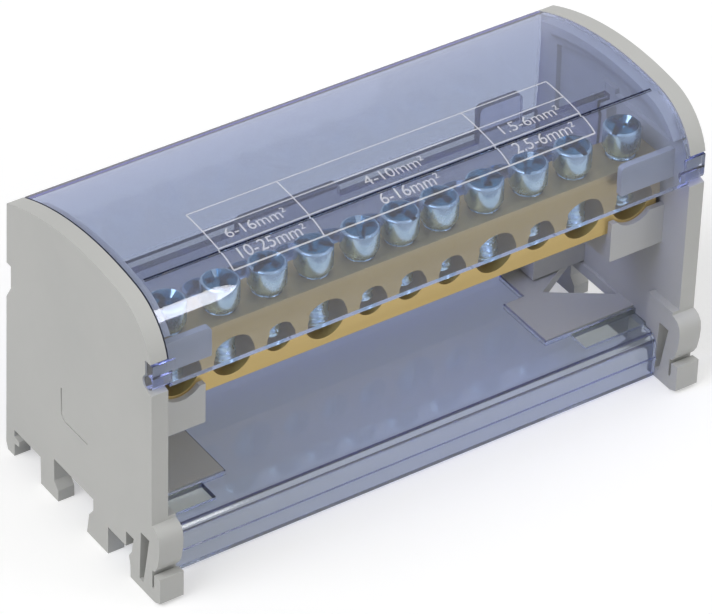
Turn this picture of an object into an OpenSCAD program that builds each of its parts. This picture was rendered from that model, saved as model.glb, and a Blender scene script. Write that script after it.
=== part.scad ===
// Two-pole power distribution block for a 35 mm rail: two grey end caps, a clear base tray and barrier,
// two brass bars on two levels with eleven clamping screws each, and a clear hinged cover.
// Millimetres. X runs along the block, Y from front to back, Z up from the feet.

/* [Body] */
// Length over the two end caps
body_l = 105; // [95:0.5:125]
// Thickness of an end cap's plate and rim
rim_t = 3; // [2.4:0.1:3.6]
// Width of the spring clip and its knuckle, along the block
clip_w = 4.4; // [4:0.1:6]
// Depth from the front plane to the back edge at the top
back_y = 42.6; // [42:0.1:44]
// How far the back edge leans outward per millimetre of height
back_lean = 0.039; // [0.02:0.001:0.05]
// Height of the arch's highest point
crown_z = 55.3; // [54.5:0.1:58]
// Distance of the arch's highest point from the front plane
crown_y = 19; // [17:0.1:21]
// Radius of the arch
arch_r = 58; // [52:0.5:64]
// Radius of the arch's front bend
bend_r = 11; // [9:0.25:12]

/* [Rail feet] */
// Underside of the cap where the rail's flanges lie
rail_z = 5.5; // [5:0.1:6]
// Thickness of the rear foot, behind the rail
rear_foot_t = 2.75; // [2.4:0.05:3]
// Width of the rail that the clip closes on
rail_w = 35; // [34.8:0.1:35.2]
// Room left along the rail's width
rail_clear = 0.6; // [0.3:0.1:1]

/* [Cover] */
// Wall thickness of the cover
cover_t = 1.6; // [1.4:0.1:2]
// Gap between the cover's ends and the rims
cover_gap = 0.25; // [0.2:0.05:0.4]
// Gap between the cover and the ledges under it
ledge_gap = 0.3; // [0.2:0.05:0.4]
// Radius of the hinge beads at the ears
bead_r = 1.15; // [1:0.05:1.25]
// Drop of the hinge axis below the start of the front bend
hinge_drop = 1.46; // [1.3:0.02:1.7]
// Height of an ear above the hinge axis
ear_h = 3.85; // [3:0.05:4.2]
// Running gap around the bead in its seat
seat_gap = 0.25; // [0.2:0.05:0.3]
// Lower edge of the rear skirt
skirt_z = 31; // [30.8:0.1:34]
// Front edge of the fine line cut along the arch
groove_y = 9.4; // [9:0.1:11]

/* [Busbars] */
// Depth of a bar
bar_d = 8; // [7.6:0.1:8.4]
// Height of a bar
bar_h = 12; // [11.5:0.1:12.5]
// Space between a bar's end and the cap's inner face
bar_end = 1; // [0.6:0.1:2]
// Diameter of a large wire hole
way_big_d = 7.5; // [7:0.1:7.8]
// Diameter of a small wire hole
way_small_d = 5.3; // [4.8:0.1:5.6]
// Metal left between a bar's end and its first wire hole
way_edge = 1.5; // [1.2:0.1:2]
// Height of the wire holes above the bar's underside
way_z = 5.1; // [4.8:0.1:5.3]
// Front face of the front bar
front_bar_y = 7; // [6.8:0.1:7.4]
// Underside of the front bar
front_bar_z = 30.9; // [30.6:0.1:31.2]
// Front face of the rear bar
rear_bar_y = 27; // [26.6:0.1:27.6]
// Underside of the rear bar
rear_bar_z = 14.4; // [14.2:0.1:15]

/* [Screws] */
// Diameter of a screw's shank
shank_d = 5; // [4.6:0.1:5.2]
// Radial running clearance of a shank in its bore
shank_gap = 0.05; // [0.03:0.01:0.08]
// Space between neighbouring heads over the small wire holes
head_gap = 1.2; // [1:0.05:1.6]
// Height of a screw's head
head_h = 5; // [4.5:0.1:5.2]
// Height of a head above its bar, as found
head_lift = 0.4; // [0.35:0.05:0.6]
// Extra height of the one screw that is loose
loose_lift = 0.4; // [0.2:0.1:1]
// How far a shank's tip lies below the axis of a small wire hole
tip_drop = 1.1; // [0.8:0.1:1.2]
// How far a shank's tip lies below the axis of a large wire hole
tip_drop_big = 2.2; // [1.8:0.1:2.4]

/* [Base tray] */
// Top of the tray's floor
floor_z = 8.6; // [8.5:0.05:8.9]
// Thickness of the tray's walls
tray_t = 1.6; // [1.4:0.1:1.7]
// Front face of the apron
apron_y = 3.3; // [3:0.1:3.6]
// Radius of the apron's upper edge
apron_r = 2.2; // [2:0.1:2.6]

/* [Barrier] */
// Front face of the barrier
barrier_y = 22.2; // [21.6:0.1:22.6]
// Thickness of the barrier
barrier_t = 1.5; // [1.2:0.1:2]
// Top edge of the barrier
barrier_top = 44.9; // [44:0.1:46]
// Height of the barrier's wall
barrier_h = 10.6; // [10:0.1:11]
// Length of the long tab on the barrier
tab_l = 19; // [16:0.5:20]
// Height of the long tab
tab_h = 2.4; // [2:0.1:3]
// Distance of the long tab's left end from the middle
tab_x = 22.6; // [21:0.1:24]
// Width of the tall lug on the barrier
lug_l = 8.5; // [7:0.1:9]
// Height of the tall lug
lug_h = 6.5; // [5:0.1:7]
// Distance of the tall lug's left end from the middle
lug_x = 23.3; // [22:0.1:25]
// Radius of the lugs' corners
lug_r = 1; // [0.6:0.1:1.2]

/* [Guards] */
// Thickness of the guard plate ahead of each end of the front bar
guard_t = 1.1; // [0.9:0.1:1.4]
// Height of a guard's upper edge above the bar
guard_rise = 2.2; // [1.8:0.1:2.8]
// Radius of a guard's free upper corner
guard_r = 0.8; // [0.5:0.1:1.5]

/* [Hidden] */
$fn = 64;
eps = 0.01;
mid_y = (back_at(1.4) - 2.4) / 2;
back_top_z = arch_z(back_y, 0);
hinge_y = bead_r + 0.05;
hinge_z = bend_z() - hinge_drop;
rail_rear_y = back_at(0) - rear_foot_t;
clip_y = rail_rear_y - rail_w - rail_clear;
feet_y = (rail_rear_y + clip_y) / 2;
bar_x0 = rim_t + bar_end;
bar_l = body_l - 2 * bar_x0;
ways = 11;
way_d = [way_big_d, way_big_d, way_small_d, way_big_d, way_small_d, way_small_d,
         way_small_d, way_big_d, way_small_d, way_big_d, way_big_d];
way_web = (bar_l - 2 * way_edge - 6 * way_big_d - 5 * way_small_d) / (ways - 1);
head_d = way_small_d + way_web - head_gap;
cradle_l = way_at(1) + way_big_d / 2 + 0.6;
cradle_t = 1;
cradle_h = 5.2;
cradle_wall = 2.4;
floor_t = 1.8;
tongue_y0 = 12;
tongue_y1 = 23.6;
tongue_y2 = 30.5;
tongue_l = 18;
fit_gap = 0.2;
slot_w = 1.1;
ear_out = 0.2;
ear_in = 1;

// Position of way i (1 to 11) along the block: holes are set one web apart, symmetric about the middle.
function way_run(i) = i <= 1 ? 0 : way_run(i - 1) + (way_d[i - 2] + way_d[i - 1]) / 2 + way_web;
function way_at(i) = body_l / 2 + way_run(i) - way_run(ways) / 2;

// The arch: a wide arc meeting a tighter front bend that is tangent to the front plane.
function arch_c() = crown_z - arch_r;
function bend_z() = arch_c() + sqrt(pow(arch_r - bend_r, 2) - pow(crown_y - bend_r, 2));
function meet_a() = atan2(bend_z() - arch_c(), bend_r - crown_y);
function arch_z(y, inset) = arch_c() + sqrt(pow(arch_r - inset, 2) - pow(y - crown_y, 2));
function back_at(z) = back_y + (crown_z - 5.1 - z) * back_lean;
function arch_end_a(inset, y) = acos((y - crown_y) / (arch_r - inset));
function bend_points(inset, n) = [for (k = [0 : n]) let (a = 180 - (180 - meet_a()) * k / n)
    [bend_r + (bend_r - inset) * cos(a), bend_z() + (bend_r - inset) * sin(a)]];
function wide_points(inset, y, n) = [for (k = [1 : n])
    let (a = meet_a() + (arch_end_a(inset, y) - meet_a()) * k / n)
    [crown_y + (arch_r - inset) * cos(a), arch_c() + (arch_r - inset) * sin(a)]];
function arch_points(inset, y) = concat(bend_points(inset, 12), wide_points(inset, y, 20));
function reversed(p) = [for (k = [len(p) - 1 : -1 : 0]) p[k]];

// Working frame to shared frame: origin in the middle, at the feet.
module place() {
    translate([-body_l / 2, -mid_y, 0]) children();
}

// Extrudes a drawing made in Y and Z along X, from x0 over a length.
module along_x(x0, l) {
    translate([x0, 0, 0]) rotate([90, 0, 90]) linear_extrude(height = l) children();
}

module mirrored() {
    translate([body_l, 0, 0]) mirror([1, 0, 0]) children();
}

// Outline of an end cap, drawn in Y and Z.
module cap_outline() {
    polygon(concat(
        [[0, 14.9]],
        arch_points(0, back_y),
        [[back_at(38.5), 38.5], [back_at(38.5) - 1.3, 38.5], [back_at(34.1) - 1.35, 34.1], [back_at(31.7), 31.7],
         [back_at(1.4), 1.4], [back_at(0) - 0.6, 0], [rail_rear_y + 0.1, 0], [rail_rear_y, 2.6],
         [rail_rear_y - 1.4, 2.9], [rail_rear_y - 1.4, 3.8], [rail_rear_y, 4.2], [rail_rear_y, rail_z],
         [feet_y + 9.6, rail_z], [feet_y + 9.6, 0], [feet_y + 4.2, 0], [feet_y + 4.2, 2.2], [feet_y + 5.4, 3.6],
         [feet_y + 5.4, 8.05], [feet_y - 6.6, 8.05], [feet_y - 6.6, 5.8], [feet_y - 5.3, 4.1], [feet_y - 4.6, 0],
         [feet_y - 11, 0], [feet_y - 11, rail_z],
         [clip_y + 1.4, rail_z], [clip_y + 1.4, 8.5], [clip_y - 0.9, 8.5], [clip_y - 0.3, rail_z],
         [clip_y + 0.55, 4.2], [clip_y + 0.1, 2.4], [clip_y + 0.1, 0], [-0.8, 0], [-2.4, 0.7],
         [-2.4, 5.6], [-0.7, 5.4], [-0.7, 2.6], [-0.15, 2.6], [-0.15, 6],
         [-0.9, 6.3], [-1.65, 7.6], [-2.15, 10], [-2.3, 12], [-2.1, 13.4], [-1.4, 14.4], [-0.5, 14.8]]));
}

// Slit that lets the clip's hook spring back from the rail.
module clip_slit() {
    polygon([[0.7, 11.4], [3.2, 11.4], [clip_y - 2.6, 1.7], [2.5, 1.7]]);
}

// Ledge under the cover's edge, following the arch.
module ledge_outline() {
    i0 = cover_t + ledge_gap;
    i1 = i0 + 1.5;
    y = back_y - i1 - 0.4;
    difference() {
        polygon(concat(arch_points(i0, y), reversed(arch_points(i1, y))));
        translate([-5, 20]) square([20, hinge_z + 6 - 20]);
    }
}

// Shallow panel in a cap's inner face.
module panel_outline() {
    polygon(concat([[bend_r - 4.5, 45.5]], [for (p = arch_points(6, 37)) if (p[0] > bend_r - 4.5) p],
                   [[37, 33], [24.9, 33], [24.9, 46.5], [21, 46.5], [21, 45.5]]));
}

// Seat for an ear and its bead, cut in the cap's front edge.
module ear_seat() {
    along_x(-1, rim_t + 3) {
        translate([hinge_y, hinge_z]) circle(r = bead_r + seat_gap);
        translate([-3, hinge_z]) square([3 + cover_t + seat_gap, ear_h + seat_gap]);
        polygon([[-3, hinge_z - 2.6], [-3, hinge_z + 0.5], [hinge_y, hinge_z + 0.5], [hinge_y, hinge_z - bead_r - 0.28]]);
    }
}

// Cradle for one end of a bar whose front lower edge is at y0, z0.
module cradle(y0, z0) {
    way_zz = z0 + way_z;
    difference() {
        union() {
            translate([rim_t - eps, y0 - cradle_t, z0 - cradle_h])
                cube([cradle_l - rim_t, bar_d + 2 * cradle_t, cradle_h + cradle_wall]);
            translate([rim_t - eps, y0 + bar_d, z0]) cube([2, 1.2, bar_h + 1.4]);
            translate([rim_t - eps, y0 + bar_d - 1.4, z0 + bar_h + 0.05]) cube([2, 2.6, 1.35]);
        }
        translate([rim_t - 1, y0, z0]) cube([cradle_l + 2, bar_d, bar_h]);
        translate([rim_t + 1.2, y0 + 0.2, z0 - 6]) cube([cradle_l - rim_t - 2.4, bar_d - 0.4, 4.4]);
        translate([way_at(1), y0 - 2, way_zz]) rotate([-90, 0, 0]) cylinder(r = way_big_d / 2 + 0.5, h = bar_d + 4);
    }
}

// Guard plate ahead of the front bar's end, from just above the end way to over the bar.
module guard() {
    z0 = front_bar_z + way_z + way_big_d / 2 + 0.05;
    l = cradle_l - rim_t + eps;
    h = front_bar_z + bar_h + guard_rise - z0;
    translate([rim_t - eps, front_bar_y - cradle_t, z0]) rotate([90, 0, 0]) linear_extrude(height = guard_t) {
        square([l - guard_r, h]);
        square([l, h - guard_r]);
        translate([l - guard_r, h - guard_r]) circle(r = guard_r);
    }
}

// Tongue that keys the cap to the tray's floor, with a triangular lightening hole.
module tongue() {
    difference() {
        union() {
            translate([rim_t - eps, tongue_y0, floor_z - floor_t]) cube([tongue_l, tongue_y1 - tongue_y0, floor_t + 0.2]);
            translate([rim_t - eps, tongue_y1 - eps, floor_z - floor_t])
                cube([tongue_l - 4, tongue_y2 - tongue_y1, floor_t + 0.2]);
        }
        translate([0, 0, floor_z - 5])
            linear_extrude(height = 10) polygon([[rim_t + 0.6, 16], [rim_t + 0.6, 29], [rim_t + 10.8, 22.9]]);
    }
}

// Faint moulded corner line on a cap's outer face.
module corner_mark() {
    r = 1.4;
    translate([26.6, 18 + r]) square([0.35, 6.2 - r]);
    translate([19, 17.9]) square([7.95 - r, 0.35]);
    intersection() {
        translate([26.95 - r, 17.9 + r]) difference() {
            circle(r = r);
            circle(r = r - 0.35);
        }
        translate([26.95 - r, 17.9]) square([r, r]);
    }
}

module end_cap() {
    difference() {
        union() {
            along_x(0, rim_t) cap_outline();
            along_x(rim_t - eps, 2) ledge_outline();
            along_x(rim_t - eps, clip_w - rim_t) intersection() {
                cap_outline();
                translate([-4, 0]) square([clip_y + 4.5, 15.5]);
            }
            cradle(front_bar_y, front_bar_z);
            cradle(rear_bar_y, rear_bar_z);
            guard();
            tongue();
            translate([rim_t - eps, barrier_y - 1.4, barrier_top - barrier_h - 1.4])
                cube([2, barrier_t + 2.8, barrier_h + 0.4]);
        }
        along_x(rim_t - 0.9, 2) panel_outline();
        along_x(-1, clip_w + 2) clip_slit();
        ear_seat();
        translate([rim_t - 0.1, barrier_y, barrier_top - barrier_h]) cube([4, barrier_t, barrier_h + 1.4]);
        along_x(-1, 1.2) corner_mark();
    }
}

module left_end_cap() {
    color("#aeb0af") place() end_cap();
}

module right_end_cap() {
    color("#aeb0af") place() mirrored() end_cap();
}

// Section of the tray: floor, rounded front apron and rear wall.
module tray_section() {
    rear = back_at(skirt_z) - 0.25;
    difference() {
        union() {
            translate([apron_y + apron_r, floor_z - floor_t])
                square([rear - apron_y - apron_r, floor_t]);
            translate([apron_y + apron_r, floor_z - apron_r]) circle(r = apron_r);
            translate([apron_y, 0.4]) square([tray_t, floor_z - apron_r - 0.4]);
            translate([apron_y - 0.25, 3.6]) square([tray_t, 0.7]);
            translate([rear - tray_t, floor_z - floor_t]) square([tray_t, skirt_z - 0.4 - floor_z + floor_t]);
        }
        translate([apron_y + apron_r, floor_z - apron_r]) circle(r = apron_r - tray_t);
        translate([apron_y + tray_t, 0]) square([4, floor_z - floor_t]);
    }
}

module tray_end() {
    translate([-1, -5, -1]) cube([clip_w + 1 + fit_gap, clip_y + 5.7, 20]);
    translate([-1, tongue_y0 - fit_gap, -1]) cube([rim_t + tongue_l + 1 + fit_gap, tongue_y1 - tongue_y0 + 2 * fit_gap, 12]);
    translate([-1, tongue_y1 - fit_gap, -1]) cube([rim_t + tongue_l - 3 + fit_gap, tongue_y2 - tongue_y1 + 2 * fit_gap, 12]);
    translate([-1, 7.1, floor_z - 1]) cube([rim_t + 14.4, tongue_y0 - 7.8, 4]);
}

module base_tray() {
    color("#9fb2d8") place() difference() {
        along_x(rim_t, body_l - 2 * rim_t) tray_section();
        tray_end();
        mirrored() tray_end();
    }
}

// A tab with rounded upper corners, standing on the barrier's top edge.
module barrier_tab(x, l, h) {
    translate([body_l / 2 + x, barrier_y + barrier_t, barrier_top - eps]) rotate([90, 0, 0])
        linear_extrude(height = barrier_t) {
            square([l, h - lug_r]);
            translate([lug_r, 0]) square([l - 2 * lug_r, h]);
            translate([lug_r, h - lug_r]) circle(r = lug_r);
            translate([l - lug_r, h - lug_r]) circle(r = lug_r);
        }
}

module barrier() {
    color("#8fa3d6") place() {
        translate([rim_t, barrier_y, barrier_top - barrier_h]) cube([body_l - 2 * rim_t, barrier_t, barrier_h]);
        barrier_tab(-tab_x, tab_l, tab_h);
        barrier_tab(lug_x, lug_l, lug_h);
    }
}

// A brass bar whose front lower edge is at y0, z0, with its wire holes and screw bores.
module busbar(y0, z0) {
    difference() {
        translate([bar_x0, y0, z0]) cube([bar_l, bar_d, bar_h]);
        for (i = [1 : ways]) {
            translate([way_at(i), y0 - 1, z0 + way_z]) rotate([-90, 0, 0]) cylinder(d = way_d[i - 1], h = bar_d + 2);
            translate([way_at(i), y0 + bar_d / 2, z0 + way_z])
                cylinder(r = shank_d / 2 + shank_gap, h = bar_h);
        }
    }
}

module front_busbar() {
    color("#b89a5c") place() busbar(front_bar_y, front_bar_z);
}

module rear_busbar() {
    color("#b89a5c") place() busbar(rear_bar_y, rear_bar_z);
}

// A terminal screw standing on the origin of its tip, with a slot and a cross in its head.
module screw_body(drop) {
    shank = bar_h - way_z + drop + head_lift;
    r = shank_d / 2;
    h = head_d / 2;
    difference() {
        rotate_extrude() polygon([[0, 0], [r - 0.7, 0], [r, 0.7], [r, shank], [h - 0.5, shank], [h, shank + 1],
                                  [h, shank + head_h - 0.5], [h - 0.5, shank + head_h], [0, shank + head_h]]);
        translate([-h - 1, -slot_w / 2, shank + head_h - 1.3]) cube([head_d + 2, slot_w, 2]);
        translate([-slot_w / 2, -2.6, shank + head_h - 1.8]) cube([slot_w, 5.2, 3]);
    }
}

// Slot angles as the screws were left.
turns = [35, 78, 20, 140, 62, 105, 12, 160, 50, 95, 30];

module screw_at(i, y0, z0, lift) {
    drop = way_d[i - 1] == way_big_d ? tip_drop_big : tip_drop;
    color("#7f9db8") place()
        translate([way_at(i), y0 + bar_d / 2, z0 + way_z - drop + lift]) rotate([0, 0, turns[i - 1]]) screw_body(drop);
}

module front_screw(i) {
    screw_at(i, front_bar_y, front_bar_z, i == ways ? loose_lift : 0);
}

module rear_screw(i) {
    screw_at(i, rear_bar_y, rear_bar_z, 0);
}

// Section of the cover: skirt, arch and rear skirt in one wall.
module cover_section() {
    yi = back_at(back_top_z) - cover_t;
    polygon(concat(
        [[0, hinge_z - bead_r]],
        arch_points(0, back_y),
        [[back_at(skirt_z), skirt_z], [back_at(skirt_z) - cover_t, skirt_z]],
        reversed(arch_points(cover_t, yi)),
        [[cover_t, hinge_z - bead_r]]));
}

module cover() {
    x0 = rim_t + cover_gap;
    color("#aebfe2") place() {
        difference() {
            along_x(x0, body_l - 2 * x0) cover_section();
            translate([x0 + 1.4, groove_y, arch_z(groove_y, 0) - 0.3]) cube([body_l - 2 * x0 - 2.8, 0.5, 3]);
        }
        for (x = [ear_out, body_l - x0 - ear_in]) {
            translate([x, hinge_y, hinge_z]) rotate([0, 90, 0]) cylinder(r = bead_r, h = x0 + ear_in - ear_out);
            translate([x, 0, hinge_z]) cube([x0 + ear_in - ear_out, cover_t, ear_h]);
        }
    }
}

left_end_cap();
right_end_cap();
base_tray();
barrier();
front_busbar();
rear_busbar();
cover();
front_screw(1);  // front_screw_01
front_screw(2);  // front_screw_02
front_screw(3);  // front_screw_03
front_screw(4);  // front_screw_04
front_screw(5);  // front_screw_05
front_screw(6);  // front_screw_06
front_screw(7);  // front_screw_07
front_screw(8);  // front_screw_08
front_screw(9);  // front_screw_09
front_screw(10);  // front_screw_10
front_screw(11);  // front_screw_11
rear_screw(1);  // rear_screw_01
rear_screw(2);  // rear_screw_02
rear_screw(3);  // rear_screw_03
rear_screw(4);  // rear_screw_04
rear_screw(5);  // rear_screw_05
rear_screw(6);  // rear_screw_06
rear_screw(7);  // rear_screw_07
rear_screw(8);  // rear_screw_08
rear_screw(9);  // rear_screw_09
rear_screw(10);  // rear_screw_10
rear_screw(11);  // rear_screw_11
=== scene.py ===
"""Dresses the rail-mounted power distribution block: clear blue shells, grey caps, brass bars, zinc screws.

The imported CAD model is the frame. Its solids keep their shapes and get their finishes here, the clamping
screws are rebuilt with threads and combination recesses, and the wire-size table is printed on the cover.
Lengths are in metres; MM turns a maker's millimetres into them.
"""

import logging
import math
from dataclasses import dataclass
from enum import Enum

import bmesh
import bpy
from mathutils import Matrix, Vector
from mathutils.bvhtree import BVHTree


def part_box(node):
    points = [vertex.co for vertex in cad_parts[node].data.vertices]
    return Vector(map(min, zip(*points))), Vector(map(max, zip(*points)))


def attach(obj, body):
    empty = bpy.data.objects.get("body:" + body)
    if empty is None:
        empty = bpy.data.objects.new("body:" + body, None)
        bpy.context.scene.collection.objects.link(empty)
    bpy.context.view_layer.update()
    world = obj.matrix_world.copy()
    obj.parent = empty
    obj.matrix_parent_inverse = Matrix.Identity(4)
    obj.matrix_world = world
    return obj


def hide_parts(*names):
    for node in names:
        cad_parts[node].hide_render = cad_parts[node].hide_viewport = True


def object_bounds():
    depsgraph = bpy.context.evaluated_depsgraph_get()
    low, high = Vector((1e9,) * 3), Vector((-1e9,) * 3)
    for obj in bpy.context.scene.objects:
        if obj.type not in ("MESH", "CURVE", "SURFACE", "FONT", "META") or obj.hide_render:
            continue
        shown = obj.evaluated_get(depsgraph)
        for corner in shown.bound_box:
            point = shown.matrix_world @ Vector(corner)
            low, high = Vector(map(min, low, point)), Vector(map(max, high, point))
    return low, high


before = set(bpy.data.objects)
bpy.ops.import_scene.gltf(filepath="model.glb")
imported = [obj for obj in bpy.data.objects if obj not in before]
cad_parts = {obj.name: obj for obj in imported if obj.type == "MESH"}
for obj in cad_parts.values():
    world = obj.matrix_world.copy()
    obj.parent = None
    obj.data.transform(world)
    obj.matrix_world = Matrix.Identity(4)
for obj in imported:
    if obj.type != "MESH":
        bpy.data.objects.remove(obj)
CAD_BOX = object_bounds()

LOG = logging.getLogger("distribution_block")
MM = 0.001
Colour = tuple[float, float, float]
Place = tuple[float, float, float]
Outline = list[tuple[float, float]]
WHITE: Colour = (1.0, 1.0, 1.0)


class Slot(Enum):
    """The record's material slots of the clear and zinc pieces."""

    CLEAR = "clear_blue"
    ZINC = "zinc_steel"


class Row(Enum):
    """The two rows of clamping screws."""

    FRONT = "front"
    REAR = "rear"


class Wiring:
    """A node tree that is being wired up."""

    # Numbers of the colour sockets among all sockets of the mix node
    MIX_SHARE = 0
    MIX_COLOURS = (6, 7)
    MIX_RESULT = 2

    def __init__(self, tree: bpy.types.NodeTree) -> None:
        """Keeps the tree."""
        self.tree = tree

    def feed(self, node: bpy.types.Node, name: str | int, value: object) -> None:
        """Sets an input to a plain value, or links it where the value is another node's output.

        Args:
            node: The node that takes the value.
            name: Name or number of its input.
            value: A plain value, a colour or an output.
        """
        socket = node.inputs[name]
        if isinstance(value, bpy.types.NodeSocket):
            self.tree.links.new(value, socket)
        elif isinstance(value, tuple) and socket.type == "RGBA":
            socket.default_value = (*value, 1.0)
        else:
            socket.default_value = value

    def fill(self, node: bpy.types.Node, values: dict[str, object]) -> bpy.types.Node:
        """Sets several inputs of a node.

        Args:
            node: The node.
            values: Values for inputs, by name with underscores for spaces.

        Returns:
            The same node.
        """
        for name, value in values.items():
            self.feed(node, name.replace("_", " "), value)
        return node

    def add(self, kind: str, **values: object) -> bpy.types.Node:
        """Adds a node of a kind and sets its inputs, named with underscores for spaces."""
        return self.fill(self.tree.nodes.new(kind), values)

    def place(self, group: bpy.types.NodeTree, **values: object) -> bpy.types.bpy_prop_collection:
        """Places a shared group.

        Args:
            group: The group.
            values: Values for its inputs, by name with underscores for spaces.

        Returns:
            The placed group's outputs.
        """
        node = self.add("ShaderNodeGroup")
        node.node_tree = group
        return self.fill(node, values).outputs

    def combine(self, kind: str, *sources: bpy.types.NodeSocket, operation: str = "") -> bpy.types.NodeSocket:
        """Adds a node that makes one output of several.

        Args:
            kind: The node's type name.
            sources: Outputs for its first inputs, in their order.
            operation: What the node does with them, where it has a choice.

        Returns:
            The new node's first output.
        """
        node = self.add(kind)
        if operation:
            node.operation = operation
        for number, source in enumerate(sources):
            self.feed(node, number, source)
        return node.outputs[0]

    def mix(self, share: bpy.types.NodeSocket, low: Colour, high: Colour) -> bpy.types.NodeSocket:
        """Mixes two colours.

        Args:
            share: Output that says how much of the second colour shows.
            low: Colour at 0.
            high: Colour at 1.

        Returns:
            The mixed colour's output.
        """
        node = self.add("ShaderNodeMix")
        node.data_type = "RGBA"
        self.feed(node, self.MIX_SHARE, share)
        for number, colour in zip(self.MIX_COLOURS, (low, high)):
            self.feed(node, number, colour)
        return node.outputs[self.MIX_RESULT]

    def spread(self, value: bpy.types.NodeSocket, low: float, high: float) -> bpy.types.NodeSocket:
        """Maps a 0 to 1 value onto the range from low to high."""
        return self.add("ShaderNodeMapRange", Value=value, To_Min=low, To_Max=high).outputs["Result"]

    def noise(self, place: bpy.types.NodeSocket, scale: bpy.types.NodeSocket, detail: float,
              warp: float = 0.0) -> bpy.types.NodeSocket:
        """Adds a cloudy pattern.

        Args:
            place: Output with the place on the piece.
            scale: Output with the pattern's scale.
            detail: How many finer patterns are laid over the first.
            warp: How far the pattern is pulled about.

        Returns:
            The pattern's output.
        """
        node = self.add("ShaderNodeTexNoise", Vector=place, Scale=scale, Detail=detail, Distortion=warp)
        return node.outputs["Fac"]


@dataclass
class SharedEffects:
    """Shader node groups that several finishes use."""

    grain_detail: float = 3.0
    tone_detail: float = 4.0
    tone_range: tuple[float, float] = (-0.4, 1.4)
    smear_detail: float = 5.0
    smear_warp: float = 0.6
    smear_range: tuple[float, float] = (-0.3, 1.3)
    speck_detail: float = 2.0
    speck_range: tuple[float, float] = (0.6, 1.4)

    def __post_init__(self) -> None:
        """Builds the groups."""
        self.grain = self._grain()
        self.film = self._film()

    @staticmethod
    def _group(name: str, inputs: dict[str, float], outputs: tuple[str, ...]) -> bpy.types.NodeTree:
        """Makes an empty group.

        Args:
            name: The group's name.
            inputs: Its inputs with their usual values.
            outputs: Names of its outputs.

        Returns:
            The group with its sockets.
        """
        group = bpy.data.node_groups.new(name, "ShaderNodeTree")
        for label, usual in inputs.items():
            socket = group.interface.new_socket(label, in_out="INPUT", socket_type="NodeSocketFloat")
            socket.default_value = usual
        for label in outputs:
            group.interface.new_socket(label, in_out="OUTPUT", socket_type="NodeSocketFloat")
        return group

    def _grain(self) -> bpy.types.NodeTree:
        """Makes fine surface grain, stretched along the block by choice, with a slow drift of tone.

        Returns:
            The group.
        """
        usual = {"Grain Scale": 3000.0, "Stretch": 1.0, "Tone Scale": 60.0}
        group = self._group("surface_grain", usual, ("Height", "Tone"))
        wire = Wiring(group)
        given = wire.add("NodeGroupInput").outputs
        place = wire.add("ShaderNodeTexCoord").outputs["Object"]
        stretch = wire.add("ShaderNodeCombineXYZ", X=given["Stretch"], Y=1.0, Z=1.0).outputs[0]
        drawn = wire.combine("ShaderNodeVectorMath", place, stretch, operation="MULTIPLY")
        fine = wire.noise(drawn, given["Grain Scale"], self.grain_detail)
        slow = wire.noise(drawn, given["Tone Scale"], self.tone_detail)
        wire.add("NodeGroupOutput", Height=fine, Tone=wire.spread(slow, *self.tone_range))
        return group

    def _film(self) -> bpy.types.NodeTree:
        """Makes a thin film of handling: soft smears with finer specks in them.

        Returns:
            The group.
        """
        group = self._group("handling_film", {"Smear Scale": 90.0, "Speck Scale": 1400.0}, ("Film",))
        wire = Wiring(group)
        given = wire.add("NodeGroupInput").outputs
        place = wire.add("ShaderNodeTexCoord").outputs["Object"]
        smear = wire.noise(place, given["Smear Scale"], self.smear_detail, self.smear_warp)
        speck = wire.noise(place, given["Speck Scale"], self.speck_detail)
        smears = wire.spread(smear, *self.smear_range)
        specks = wire.spread(speck, *self.speck_range)
        film = wire.combine("ShaderNodeMath", smears, specks, operation="MULTIPLY")
        film.node.use_clamp = True
        wire.add("NodeGroupOutput", Film=film)
        return group


def blank_material(name: str) -> tuple[bpy.types.Material, Wiring]:
    """Makes a material that has no nodes yet.

    Args:
        name: The material's name.

    Returns:
        The material, and its node tree ready to be wired up.
    """
    made = bpy.data.materials.new(name)
    made.use_nodes = True
    made.node_tree.nodes.clear()
    return made, Wiring(made.node_tree)


@dataclass(frozen=True)
class SolidFinish:
    """An opaque finish whose tone, roughness and grain vary over the surface."""

    name: str
    low: Colour
    high: Colour
    rough: tuple[float, float]
    metallic: float
    grain_scale: float
    stretch: float
    tone_scale: float
    bump: float
    bump_depth: float
    specular: float = 0.5
    alpha: float = 1.0

    def material(self, effects: SharedEffects) -> bpy.types.Material:
        """Makes the material.

        Args:
            effects: The shared node groups.

        Returns:
            The finished material.
        """
        made, wire = blank_material(self.name)
        grain = wire.place(
            effects.grain, Grain_Scale=self.grain_scale, Stretch=self.stretch, Tone_Scale=self.tone_scale)
        film = wire.place(effects.film)
        bump = wire.add(
            "ShaderNodeBump", Strength=self.bump, Distance=self.bump_depth, Height=grain["Height"])
        skin = wire.add(
            "ShaderNodeBsdfPrincipled",
            Base_Color=wire.mix(grain["Tone"], self.low, self.high),
            Metallic=self.metallic,
            Roughness=wire.spread(film["Film"], *self.rough),
            Specular_IOR_Level=self.specular,
            Alpha=self.alpha,
            Normal=bump.outputs[0],
        )
        wire.add("ShaderNodeOutputMaterial", Surface=skin.outputs[0])
        return made


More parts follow.
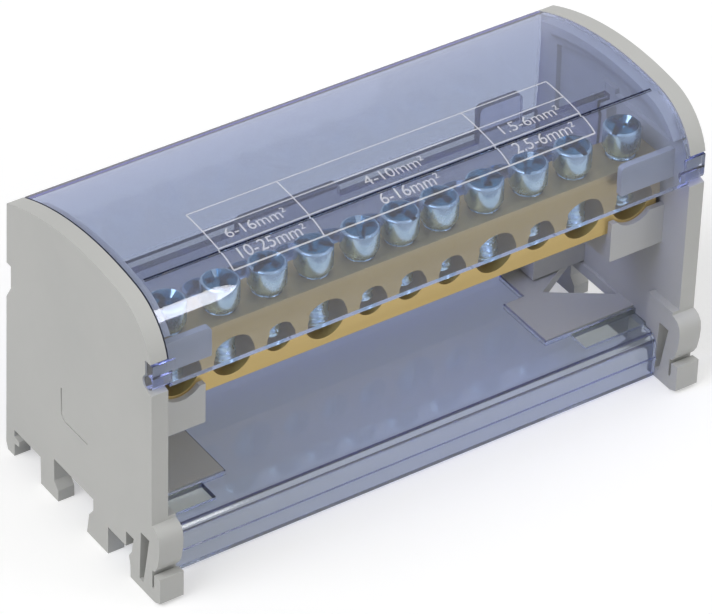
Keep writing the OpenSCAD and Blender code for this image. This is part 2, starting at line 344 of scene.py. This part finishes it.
@dataclass(frozen=True)
class ClearFinish:
    """Clear tinted plastic that lamps shine through, deeper in colour along its edges."""

    name: str
    tint: Colour
    lamp_tint: Colour
    depth_tint: Colour
    depth: float
    clearness: float
    rough: tuple[float, float]
    specular: float = 0.5
    ior: float = 1.5

    def material(self, effects: SharedEffects) -> bpy.types.Material:
        """Makes the material.

        Args:
            effects: The shared node groups.

        Returns:
            The finished material.
        """
        made, wire = blank_material(self.name)
        film = wire.place(effects.film)
        skin = wire.add(
            "ShaderNodeBsdfPrincipled",
            Base_Color=self.tint,
            Roughness=wire.spread(film["Film"], *self.rough),
            IOR=self.ior,
            Specular_IOR_Level=self.specular,
            Transmission_Weight=self.clearness,
        )
        lamp = wire.add("ShaderNodeBsdfTransparent", Color=self.lamp_tint)
        shadow = wire.add("ShaderNodeLightPath").outputs["Is Shadow Ray"]
        either = wire.combine("ShaderNodeMixShader", shadow, skin.outputs[0], lamp.outputs[0])
        inside = wire.add("ShaderNodeVolumeAbsorption", Color=self.depth_tint, Density=self.depth)
        wire.add("ShaderNodeOutputMaterial", Surface=either, Volume=inside.outputs[0])
        return made


MOULDED_GREY = SolidFinish(
    name="moulded_grey", low=(0.50, 0.505, 0.49), high=(0.56, 0.56, 0.54), rough=(0.40, 0.52), metallic=0.0,
    grain_scale=4200.0, stretch=1.0, tone_scale=45.0, bump=0.22, bump_depth=0.04 * MM, specular=0.4)
DRAWN_BRASS = SolidFinish(
    name="drawn_brass", low=(0.46, 0.335, 0.125), high=(0.60, 0.45, 0.19), rough=(0.34, 0.48), metallic=0.68,
    grain_scale=2600.0, stretch=0.05, tone_scale=160.0, bump=0.25, bump_depth=0.03 * MM)
# Lit and shaded copies of one zinc: the lighter copy on the shank and the head's side is painted light, and
# the darker blue copy on the head's top and recess is painted shade.
ZINC_SIDE_PAINTED_LIGHT = SolidFinish(
    name="zinc_side_painted_light", low=(0.34, 0.50, 0.60), high=(0.66, 0.79, 0.86), rough=(0.18, 0.32), metallic=1.0,
    grain_scale=3800.0, stretch=1.0, tone_scale=420.0, bump=0.2, bump_depth=0.03 * MM)
ZINC_TOP_PAINTED_SHADE = SolidFinish(
    name="zinc_top_painted_shade", low=(0.012, 0.08, 0.17), high=(0.12, 0.36, 0.54), rough=(0.10, 0.22), metallic=1.0,
    grain_scale=3800.0, stretch=1.0, tone_scale=520.0, bump=0.2, bump_depth=0.03 * MM)
WHITE_INK = SolidFinish(
    name="white_ink", low=(0.86, 0.87, 0.90), high=(0.95, 0.95, 0.96), rough=(0.45, 0.6), metallic=0.0,
    grain_scale=5000.0, stretch=1.0, tone_scale=400.0, bump=0.1, bump_depth=0.01 * MM, alpha=0.42)
CLEAR_COVER = ClearFinish(
    name="clear_cover", tint=(0.795, 0.825, 0.73), lamp_tint=(0.97, 0.98, 1.0),
    depth_tint=(0.27, 0.36, 0.93), depth=280.0, clearness=0.985, rough=(0.004, 0.012), specular=0.6)
CLEAR_TRAY = ClearFinish(
    name="clear_tray", tint=(0.735, 0.76, 0.625), lamp_tint=(0.93, 0.95, 0.98),
    depth_tint=(0.26, 0.36, 0.92), depth=340.0, clearness=0.90, rough=(0.04, 0.09))
CLEAR_BARRIER = ClearFinish(
    name="clear_barrier", tint=(0.98, 0.98, 0.91), lamp_tint=(0.95, 0.96, 0.99),
    depth_tint=(0.25, 0.33, 0.90), depth=300.0, clearness=0.92, rough=(0.01, 0.02), specular=0.6)


def put_in_scene(name: str, data: bpy.types.ID, *finishes: bpy.types.Material) -> bpy.types.Object:
    """Makes an object.

    Args:
        name: The object's name.
        data: Its mesh, letters, lamp or camera.
        finishes: Finishes that the faces of its mesh may pick from.

    Returns:
        The new object, linked into the scene.
    """
    made = bpy.data.objects.new(name, data)
    for finish in finishes:
        made.data.materials.append(finish)
    bpy.context.scene.collection.objects.link(made)
    return made


def finished_mesh(name: str, solid: bmesh.types.BMesh) -> bpy.types.Mesh:
    """Turns a mesh that was built up by hand into one for an object.

    Args:
        name: Name of the new mesh.
        solid: What was built up, which is freed.

    Returns:
        The new mesh.
    """
    mesh = bpy.data.meshes.new(name)
    solid.to_mesh(mesh)
    solid.free()
    return mesh


def evaluated_mesh(piece: bpy.types.Object) -> bpy.types.Mesh:
    """Takes the shape that an object has after its modifiers.

    Args:
        piece: The object, which stays as it is.

    Returns:
        A new mesh.
    """
    bpy.context.view_layer.update()
    return bpy.data.meshes.new_from_object(piece.evaluated_get(bpy.context.evaluated_depsgraph_get()))


def join_rings(solid: bmesh.types.BMesh, rings: list[list[bmesh.types.BMVert]]) -> None:
    """Closes the wall between each ring and the next.

    Args:
        solid: Mesh that takes the faces.
        rings: Rings of equally many corners; a ring of one corner again and again is a point.
    """
    for first, second in zip(rings, rings[1:]):
        for i in range(len(first)):
            j = (i + 1) % len(first)
            solid.faces.new(list(dict.fromkeys((first[i], second[i], second[j], first[j]))))


@dataclass(frozen=True)
class Dressing:
    """How a CAD node's facets are joined into faces, and its sharp edges eased."""

    seam: float = 0.002 * MM
    flat_angle: float = math.radians(0.4)
    sharp_angle: float = math.radians(35)
    segments: int = 2
    face_weight: int = 80

    def put_on(self, node: str, material: bpy.types.Material, bevel: float) -> None:
        """Gives a CAD node its finish and eases its sharp edges.

        Args:
            node: Name of the CAD node.
            material: The finish.
            bevel: Most that the eased edges may be wide; the node's short edges narrow them.
        """
        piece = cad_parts[node]
        piece.data.materials.clear()
        piece.data.materials.append(material)
        piece.data.polygons.foreach_set("use_smooth", [True] * len(piece.data.polygons))
        weld = piece.modifiers.new("seams", "WELD")
        weld.merge_threshold = self.seam
        flat = piece.modifiers.new("whole_faces", "DECIMATE")
        flat.decimate_type = "DISSOLVE"
        flat.angle_limit = self.flat_angle
        edge = piece.modifiers.new("eased_edges", "BEVEL")
        edge.width = bevel
        edge.segments = self.segments
        edge.limit_method = "ANGLE"
        edge.angle_limit = self.sharp_angle
        level = piece.modifiers.new("even_normals", "WEIGHTED_NORMAL")
        level.keep_sharp = True
        level.weight = self.face_weight
        LOG.info("dressed %s", node)


DRESSING = Dressing()


@dataclass
class EndCaps:
    """The two grey moulded end caps."""

    bevel: float = 0.22 * MM

    def dress(self, material: bpy.types.Material) -> None:
        """Gives both caps the moulded finish."""
        for side in ("left", "right"):
            DRESSING.put_on(f"{side}_end_cap", material, self.bevel)


@dataclass
class ClearShells:
    """The clear tray, barrier and hinged cover."""

    cover_bevel: float = 0.18 * MM
    tray_bevel: float = 0.1 * MM

    def dress(self, cover: bpy.types.Material, tray: bpy.types.Material, barrier: bpy.types.Material) -> None:
        """Gives each clear piece its own tint.

        Args:
            cover: Finish of the cover.
            tray: Finish of the base tray.
            barrier: Finish of the barrier.
        """
        DRESSING.put_on("cover", cover, self.cover_bevel)
        DRESSING.put_on("base_tray", tray, self.tray_bevel)
        DRESSING.put_on("barrier", barrier, self.tray_bevel)


@dataclass
class Busbars:
    """The two drilled brass bars."""

    bevel: float = 0.2 * MM

    def dress(self, material: bpy.types.Material) -> None:
        """Gives both bars the drawn brass finish."""
        for row in Row:
            DRESSING.put_on(f"{row.value}_busbar", material, self.bevel)


@dataclass
class ClampScrews:
    """Clamping screws with a rounded head, a combined slot and cross, and a cut thread.

    Attributes:
        crown: Rise of the head's middle above its rim.
        neck: How far inside the shank's side the head's underside ends.
        shank_in_head: How far the shank reaches up into the head.
        cut_over: How far the cutters of the recess stand above the rim.
        slot_over: How far the slot's cutter passes the head's side at each end.
        painted_shade_below: How far below the cross the darker zinc copy, painted shade, still goes.
        turns: How the recesses of a row are turned, in degrees.
    """

    head_r: float = 3.175 * MM
    head_h: float = 4.65 * MM
    crown: float = 0.35 * MM
    crown_shares: tuple[float, ...] = (0.0, 0.3, 0.6, 0.8)
    rim_r: float = 0.45 * MM
    rim_steps: int = 6
    foot_h: float = 1.0 * MM
    foot_taper: float = 0.5 * MM
    foot_shares: tuple[float, ...] = (0.0, 0.5, 1.0)
    neck: float = 0.4 * MM
    shank_r: float = 2.5 * MM
    shank_in_head: float = 0.15 * MM
    thread_depth: float = 0.36 * MM
    pitch: float = 0.8 * MM
    ridge_slope: float = 2.6
    tip_length: float = 0.5 * MM
    tip_slope: float = 0.9
    cut_over: float = 0.45 * MM
    slot_w: float = 1.2 * MM
    slot_depth: float = 1.1 * MM
    slot_taper: float = 0.55
    slot_over: float = 0.635 * MM
    cross_w: float = 1.5 * MM
    cross_r: float = 2.6 * MM
    cross_taper: float = 0.3
    cross_depth: float = 1.6 * MM
    cross_turns: tuple[float, ...] = (0.0, 90.0)
    cone_r: float = 1.25 * MM
    cone_tip_r: float = 0.2 * MM
    cone_depth: float = 1.2 * MM
    painted_shade_below: float = 0.05 * MM
    crease_angle: float = math.radians(32)
    edge_bevel: float = 0.2 * MM
    edge_segments: int = 2
    edge_angle: float = math.radians(50)
    sides: int = 48
    rows_per_turn: int = 8
    length_digits: int = 6
    turns: tuple[int, ...] = (35, 78, 20, 140, 62, 105, 12, 160, 50, 95, 30)

    def _head_profile(self) -> Outline:
        """Draws half of the head's section.

        Returns:
            Radius and height of its points, from the axis on top to the shank underneath.
        """
        foot = -self.head_h
        outline = [(self.head_r * share, self.crown * (1 - share**2)) for share in self.crown_shares]
        for step in range(self.rim_steps + 1):
            angle = math.radians(90 - 90 * step / self.rim_steps)
            across = self.head_r - self.rim_r + self.rim_r * math.cos(angle)
            outline.append((across, -self.rim_r + self.rim_r * math.sin(angle)))
        for share in self.foot_shares:
            outline.append((self.head_r - self.foot_taper * share, foot + self.foot_h * (1 - share)))
        outline.append((self.shank_r - self.neck, foot))
        return outline

    def _corner(self, solid: bmesh.types.BMesh, radius: float, i: int, height: float) -> bmesh.types.BMVert:
        """Adds one corner of a ring about the axis, the i-th of its sides."""
        angle = 2 * math.pi * i / self.sides
        return solid.verts.new((radius * math.cos(angle), radius * math.sin(angle), height))

    def _spun(self, name: str, outline: Outline) -> bpy.types.Mesh:
        """Spins an outline about the axis into a closed solid.

        Args:
            name: Name of the mesh.
            outline: Radius and height points, from the axis to the axis or to a flat end.

        Returns:
            The closed mesh.
        """
        solid = bmesh.new()
        rings = []
        for radius, height in outline:
            if radius > 0:
                rings.append([self._corner(solid, radius, i, height) for i in range(self.sides)])
            else:
                rings.append([solid.verts.new((0, 0, height))] * self.sides)
        join_rings(solid, rings)
        if outline[-1][0] > 0:
            solid.faces.new(list(reversed(rings[-1])))
        bmesh.ops.recalc_face_normals(solid, faces=solid.faces)
        return finished_mesh(name, solid)

    def _groove(self, length: float, width: float, depth: float, taper: float, turn: float) -> bpy.types.Mesh:
        """Makes the cutter for one groove of the driver's recess, narrower towards its bottom.

        Args:
            length: Its length at the top.
            width: Its width at the top.
            depth: Its depth below the rim.
            taper: Share of length and width left at the bottom.
            turn: Its angle about the axis, in degrees.

        Returns:
            The cutter's mesh.
        """
        solid = bmesh.new()
        height = depth + self.cut_over
        corners = bmesh.ops.create_cube(solid, size=1.0)["verts"]
        bmesh.ops.scale(solid, verts=corners, vec=(length, width, height))
        bmesh.ops.translate(solid, verts=corners, vec=(0, 0, self.cut_over - height / 2))
        for corner in corners:
            if corner.co.z < 0:
                corner.co.xy *= taper
        bmesh.ops.rotate(solid, verts=corners, matrix=Matrix.Rotation(math.radians(turn), 3, "Z"))
        return finished_mesh("groove", solid)

    def _recess(self) -> list[bpy.types.Mesh]:
        """Makes the driver's shape: a slot right across, a cross with sloping ends, and a cone in its middle.

        Returns:
            The cutters' meshes.
        """
        across = 2 * (self.head_r + self.slot_over)
        cutters = [self._groove(across, self.slot_w, self.slot_depth, self.slot_taper, 0.0)]
        for turn in self.cross_turns:
            arms = self._groove(2 * self.cross_r, self.cross_w, self.cross_depth, self.cross_taper, turn)
            cutters.append(arms)
        cone = [(0.0, self.cut_over), (self.cone_r, self.cut_over)]
        cone += [(self.cone_tip_r, -self.cone_depth), (0.0, -self.cone_depth)]
        cutters.append(self._spun("cone", cone))
        return cutters

    def _thread(self, length: float) -> bpy.types.Mesh:
        """Cuts the thread of a shank that hangs from the head's underside.

        Args:
            length: Length of the shank.

        Returns:
            The closed mesh.
        """
        solid = bmesh.new()
        steps = round(length / self.pitch * self.rows_per_turn)
        top = -self.head_h + self.shank_in_head
        rings = []
        for step in range(steps + 1):
            down = (length + self.shank_in_head) * step / steps
            chamfer = max(0.0, down - (length - self.tip_length)) * self.tip_slope
            ring = []
            for i in range(self.sides):
                phase = (down / self.pitch - i / self.sides) % 1.0
                ridge = max(0.0, 1 - abs(phase - 0.5) * self.ridge_slope)
                radius = self.shank_r - self.thread_depth * (1 - ridge) - chamfer
                ring.append(self._corner(solid, radius, i, top - down))
            rings.append(ring)
        join_rings(solid, rings)
        solid.faces.new(rings[0])
        solid.faces.new(list(reversed(rings[-1])))
        bmesh.ops.recalc_face_normals(solid, faces=solid.faces)
        return finished_mesh("thread", solid)

    @staticmethod
    def _cut(body: bpy.types.Object, cutter: bpy.types.Mesh) -> None:
        """Cuts one solid out of the head and keeps the result.

        Args:
            body: The head.
            cutter: Mesh of the solid to take away.
        """
        tool = put_in_scene("cutter", cutter)
        modifier = body.modifiers.new("recess", "BOOLEAN")
        modifier.operation = "DIFFERENCE"
        modifier.solver = "EXACT"
        modifier.object = tool
        mesh = evaluated_mesh(body)
        body.modifiers.clear()
        body.data = mesh
        bpy.data.objects.remove(tool)

    def _screw_mesh(self, length: float) -> bpy.types.Mesh:
        """Makes one screw whose rim of the head lies at height 0.

        Args:
            length: Length of the shank under the head.

        Returns:
            The mesh of head and shank.
        """
        head = put_in_scene("head", self._spun("head", self._head_profile()))
        for cutter in self._recess():
            self._cut(head, cutter)
        joined = bmesh.new()
        joined.from_mesh(head.data)
        joined.from_mesh(self._thread(length))
        mesh = finished_mesh("clamp_screw", joined)
        bpy.data.objects.remove(head)
        mesh.polygons.foreach_set("use_smooth", [True] * len(mesh.polygons))
        mesh.set_sharp_from_angle(angle=self.crease_angle)
        # The head's top and recess, down to a little below the cross, take the darker zinc copy, which is
        # painted shade; all other faces take the lighter copy, which is painted light.
        for face in mesh.polygons:
            inside = face.center.xy.length < self.head_r - self.rim_r
            face.material_index = int(inside and face.center.z > -self.cross_depth - self.painted_shade_below)
        return mesh

    def build(self, side: bpy.types.Material, top: bpy.types.Material) -> None:
        """Puts a screw in place of each CAD screw, riding on that screw's own body.

        Args:
            side: The zinc's lighter copy for the shank and the head's side, painted light.
            top: The zinc's darker copy for the head's top and its recess, painted shade.
        """
        shapes: dict[float, bpy.types.Mesh] = {}
        for row in Row:
            names = sorted(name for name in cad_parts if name.startswith(f"{row.value}_screw"))
            for name, degrees in zip(names, self.turns):
                low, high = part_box(name)
                length = round(high.z - low.z - self.crown - self.head_h, self.length_digits)
                if length not in shapes:
                    shapes[length] = self._screw_mesh(length)
                screw = put_in_scene(f"{name}_threaded", shapes[length].copy(), side, top)
                edge = screw.modifiers.new("eased_edges", "BEVEL")
                edge.width = self.edge_bevel
                edge.segments = self.edge_segments
                edge.angle_limit = self.edge_angle
                turn = math.radians(degrees)
                place = Vector(((low.x + high.x) / 2, (low.y + high.y) / 2, high.z - self.crown))
                screw.matrix_world = Matrix.Translation(place) @ Matrix.Rotation(turn, 4, "Z")
                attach(screw, name)
                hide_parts(name)
                LOG.info("built %s", screw.name)


@dataclass
class PrintedTable:
    """The white wire-size table printed on the cover's arch.

    Attributes:
        ink: Thickness of the print.
        stand_off: Gap between the print and the cover.
        sight_z: Height, well above the block, from which the cover is sighted.
    """

    left_x: float = -34.1 * MM
    right_x: float = 34.1 * MM
    divider_x: float = 17.5 * MM
    front_y: float = -15.2 * MM
    middle_y: float = -10.85 * MM
    row_y: float = -6.4 * MM
    back_y: float = -1.65 * MM
    line_w: float = 0.24 * MM
    line_steps: int = 24
    ink: float = 0.02 * MM
    stand_off: float = 0.012 * MM
    letter_h: float = 3.1 * MM
    letter_steps: int = 4
    sight_z: float = 1.0

    def __post_init__(self) -> None:
        """Keeps the cover's surface for laying the ink on it."""
        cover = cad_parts["cover"]
        self.surface = BVHTree.FromObject(cover, bpy.context.evaluated_depsgraph_get())

    def _on_cover(self, x: float, y: float, lift: float) -> Vector:
        """The point that stands off the cover's outer face by a lift, at a place seen from above."""
        point, normal, _, _ = self.surface.ray_cast(Vector((x, y, self.sight_z)), Vector((0, 0, -1)))
        return point + normal * lift

    def _stroke(self, mesh: bmesh.types.BMesh, start: tuple[float, float], end: tuple[float, float]) -> None:
        """Lays one closed line of ink.

        Args:
            mesh: Mesh that takes the line.
            start: Place of its first end along and across the block.
            end: Place of its other end.
        """
        run = Vector(end) - Vector(start)
        side = Vector((-run.y, run.x)).normalized() * (self.line_w / 2)
        rings = []
        for step in range(self.line_steps + 1):
            at = Vector(start) + run * (step / self.line_steps)
            corners = ((at - side, 0.0), (at + side, 0.0), (at + side, self.ink), (at - side, self.ink))
            rings.append([mesh.verts.new(self._on_cover(p.x, p.y, self.stand_off + up)) for p, up in corners])
        join_rings(mesh, rings)
        mesh.faces.new(rings[0])
        mesh.faces.new(list(reversed(rings[-1])))

    def _figures(self, name: str, words: str, x: float, y: float, material: bpy.types.Material) -> None:
        """Prints one wire size, laid on the arch.

        Args:
            name: Name of the piece.
            words: The wire size.
            x: Middle of the print along the block.
            y: Middle of the print from front to back.
            material: The ink.
        """
        curve = bpy.data.curves.new(name, "FONT")
        curve.body = words
        curve.size = self.letter_h
        curve.align_x = "CENTER"
        curve.align_y = "CENTER"
        curve.extrude = self.ink / 2
        curve.resolution_u = self.letter_steps
        shape = put_in_scene(name, curve)
        mesh = evaluated_mesh(shape)
        bpy.data.objects.remove(shape)
        for vertex in mesh.vertices:
            flat = vertex.co.copy()
            lift = self.stand_off + self.ink / 2 + flat.z
            vertex.co = self._on_cover(x + flat.x, y + flat.y, lift)
        self._ride(put_in_scene(name, mesh, material))

    @staticmethod
    def _ride(piece: bpy.types.Object) -> None:
        """Lets a print move with the cover.

        Args:
            piece: The print.
        """
        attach(piece, "cover")
        LOG.info("printed %s", piece.name)

    def build(self, material: bpy.types.Material) -> None:
        """Prints the lines and the wire sizes.

        Args:
            material: The ink.
        """
        lines = bmesh.new()
        for y in (self.front_y, self.middle_y, self.row_y, self.back_y):
            self._stroke(lines, (self.left_x, y), (self.right_x, y))
        for x in (self.left_x, -self.divider_x, self.divider_x, self.right_x):
            self._stroke(lines, (x, self.front_y), (x, self.back_y))
        bmesh.ops.recalc_face_normals(lines, faces=lines.faces)
        self._ride(put_in_scene("table_lines", finished_mesh("table_lines", lines), material))
        column = (self.divider_x + self.right_x) / 2
        upper = (self.middle_y + self.row_y) / 2
        lower = (self.front_y + self.middle_y) / 2
        for spot, x, y, words in (
            ("upper_left", -column, upper, "6-16mm²"),
            ("upper_middle", 0.0, upper, "4-10mm²"),
            ("upper_right", column, upper, "1.5-6mm²"),
            ("lower_left", -column, lower, "10-25mm²"),
            ("lower_middle", 0.0, lower, "6-16mm²"),
            ("lower_right", column, lower, "2.5-6mm²"),
        ):
            self._figures(f"size_{spot}", words, x, y, material)


@dataclass
class Studio:
    """Pale floor, soft light and the camera of the photograph.

    Angles are in degrees, and a lamp's "from" is the side that its light comes from.

    Attributes:
        image_w: Width of the photograph in pixels.
        focal_px: The camera's focal length in those pixels.
        sensor: Width of the camera's sensor, in the millimetres that Blender takes.
        strip_aim: Point that the strip lamp faces.
        floor_glow: Light that only the rays that show the floor get from it.
    """

    image_w: int = 712
    focal_px: float = 4860.93
    sensor: float = 36.0
    azimuth: float = -34.988
    elevation: float = 37.394
    roll: float = 1.779
    distance: float = 786.88 * MM
    target: Place = (0.0, 0.95 * MM, 19.5 * MM)
    shift_right: float = 0.183 * MM
    shift_up: float = 1.965 * MM
    nearest: float = 0.05
    farthest: float = 50.0
    world_light: float = 0.33
    backdrop_light: float = 1.0
    far_lamp_at: Place = (0.0, 0.0, 1.0)
    key_light: float = 1.46
    key_angle: float = 40.0
    key_from: Place = (-0.64, -0.02, 0.767)
    fill_light: float = 0.78
    fill_angle: float = 100.0
    fill_from: Place = (0.43, -0.51, 0.746)
    strip_watts: float = 0.35
    strip_size: tuple[float, float] = (0.03, 0.34)
    strip_from: Place = (0.386, -0.522, 0.80)
    strip_aim: Place = (-0.042, -0.017, 0.052)
    floor_side: float = 12.0
    floor_tone: float = 0.70
    floor_rough: float = 0.9
    floor_glow: float = 0.40

    def camera(self) -> None:
        """Stands the camera where the photograph was taken."""
        turn, tilt, roll = (math.radians(a) for a in (self.azimuth, self.elevation, self.roll))
        back = Vector((math.sin(turn) * math.cos(tilt), -math.cos(turn) * math.cos(tilt), math.sin(tilt)))
        level = Vector((math.cos(turn), math.sin(turn), 0.0))
        above = back.cross(level)
        right = level * math.cos(roll) + above * math.sin(roll)
        up = above * math.cos(roll) - level * math.sin(roll)
        place = Vector(self.target) + right * self.shift_right + up * self.shift_up + back * self.distance
        data = bpy.data.cameras.new("portrait")
        data.sensor_width = self.sensor
        data.lens = self.focal_px * self.sensor / self.image_w
        data.clip_start = self.nearest
        data.clip_end = self.farthest
        eye = put_in_scene("portrait", data)
        eye.matrix_world = Matrix.Translation(place) @ Matrix((right, up, back)).transposed().to_4x4()
        bpy.context.scene.camera = eye

    @staticmethod
    def _hang(data: bpy.types.Light, place: Vector, source: Vector) -> None:
        """Hangs a lamp with its long side square to the block.

        Args:
            data: The lamp's settings.
            place: Where it hangs.
            source: Direction that its light comes from.
        """
        facing = source.normalized()
        rise = Vector((1.0, 0.0, 0.0)).cross(facing).normalized()
        axes = Matrix((rise.cross(facing), rise, facing)).transposed().to_4x4()
        put_in_scene(data.name, data).matrix_world = Matrix.Translation(place) @ axes

    def _far_lamp(self, name: str, energy: float, angle: float, source: Place) -> None:
        """Hangs one far soft lamp.

        Args:
            name: The lamp's name.
            energy: Its strength.
            angle: Its apparent width, in degrees.
            source: Direction that its light comes from.
        """
        data = bpy.data.lights.new(name, "SUN")
        data.energy = energy
        data.angle = math.radians(angle)
        self._hang(data, Vector(self.far_lamp_at), Vector(source))

    def _strip(self) -> None:
        """Hangs the narrow strip lamp that draws the streak along the cover's front bend."""
        data = bpy.data.lights.new("strip", "AREA")
        data.shape = "RECTANGLE"
        data.size, data.size_y = self.strip_size
        data.energy = self.strip_watts
        place = Vector(self.strip_from)
        self._hang(data, place, place - Vector(self.strip_aim))

    @staticmethod
    def _looked_at(wire: Wiring) -> bpy.types.NodeSocket:
        """Tells the rays that show the background, plainly, in metal or through clear plastic.

        Args:
            wire: The node tree that needs to know.

        Returns:
            The output that is 1 for such rays.
        """
        path = wire.add("ShaderNodeLightPath").outputs
        shown = path["Is Camera Ray"]
        for kind in ("Is Glossy Ray", "Is Transmission Ray"):
            shown = wire.combine("ShaderNodeMath", shown, path[kind], operation="MAXIMUM")
        return shown

    def light(self) -> None:
        """Lights the object evenly, with a key from the left, a fill from the right front and a strip."""
        self._far_lamp("key", self.key_light, self.key_angle, self.key_from)
        self._far_lamp("fill", self.fill_light, self.fill_angle, self.fill_from)
        self._strip()
        world = bpy.data.worlds.new("studio")
        world.use_nodes = True
        world.node_tree.nodes.clear()
        bpy.context.scene.world = world
        wire = Wiring(world.node_tree)
        soft = wire.add("ShaderNodeBackground", Color=WHITE, Strength=self.world_light)
        seen = wire.add("ShaderNodeBackground", Color=WHITE, Strength=self.backdrop_light)
        mixed = wire.combine("ShaderNodeMixShader", self._looked_at(wire), soft.outputs[0], seen.outputs[0])
        wire.add("ShaderNodeOutputWorld", Surface=mixed)

    def floor(self) -> None:
        """Lays the pale floor under the feet."""
        half = self.floor_side / 2
        sheet = bmesh.new()
        corners = ((-half, -half), (half, -half), (half, half), (-half, half))
        sheet.faces.new([sheet.verts.new((x, y, CAD_BOX[0].z)) for x, y in corners])
        mesh = finished_mesh("floor", sheet)
        paint, wire = blank_material("pale_floor")
        skin = wire.add(
            "ShaderNodeBsdfPrincipled",
            Base_Color=(self.floor_tone, self.floor_tone, self.floor_tone),
            Roughness=self.floor_rough,
            Specular_IOR_Level=0.0,
            Emission_Color=WHITE,
            Emission_Strength=wire.spread(self._looked_at(wire), 0.0, self.floor_glow),
        )
        wire.add("ShaderNodeOutputMaterial", Surface=skin.outputs[0])
        put_in_scene("floor", mesh, paint)

    def build(self) -> None:
        """Sets up the whole studio."""
        bpy.context.scene.view_settings.view_transform = "Standard"
        self.camera()
        self.light()
        self.floor()


def main() -> None:
    """Dresses the frame, builds the pieces and sets up the studio."""
    logging.basicConfig(level=logging.INFO, format="%(name)s: %(message)s")
    effects = SharedEffects()
    EndCaps().dress(MOULDED_GREY.material(effects))
    ClearShells().dress(*(finish.material(effects) for finish in (CLEAR_COVER, CLEAR_TRAY, CLEAR_BARRIER)))
    Busbars().dress(DRAWN_BRASS.material(effects))
    ClampScrews().build(ZINC_SIDE_PAINTED_LIGHT.material(effects), ZINC_TOP_PAINTED_SHADE.material(effects))
    PrintedTable().build(WHITE_INK.material(effects))
    Studio().build()


if __name__ == "__main__":
    main()
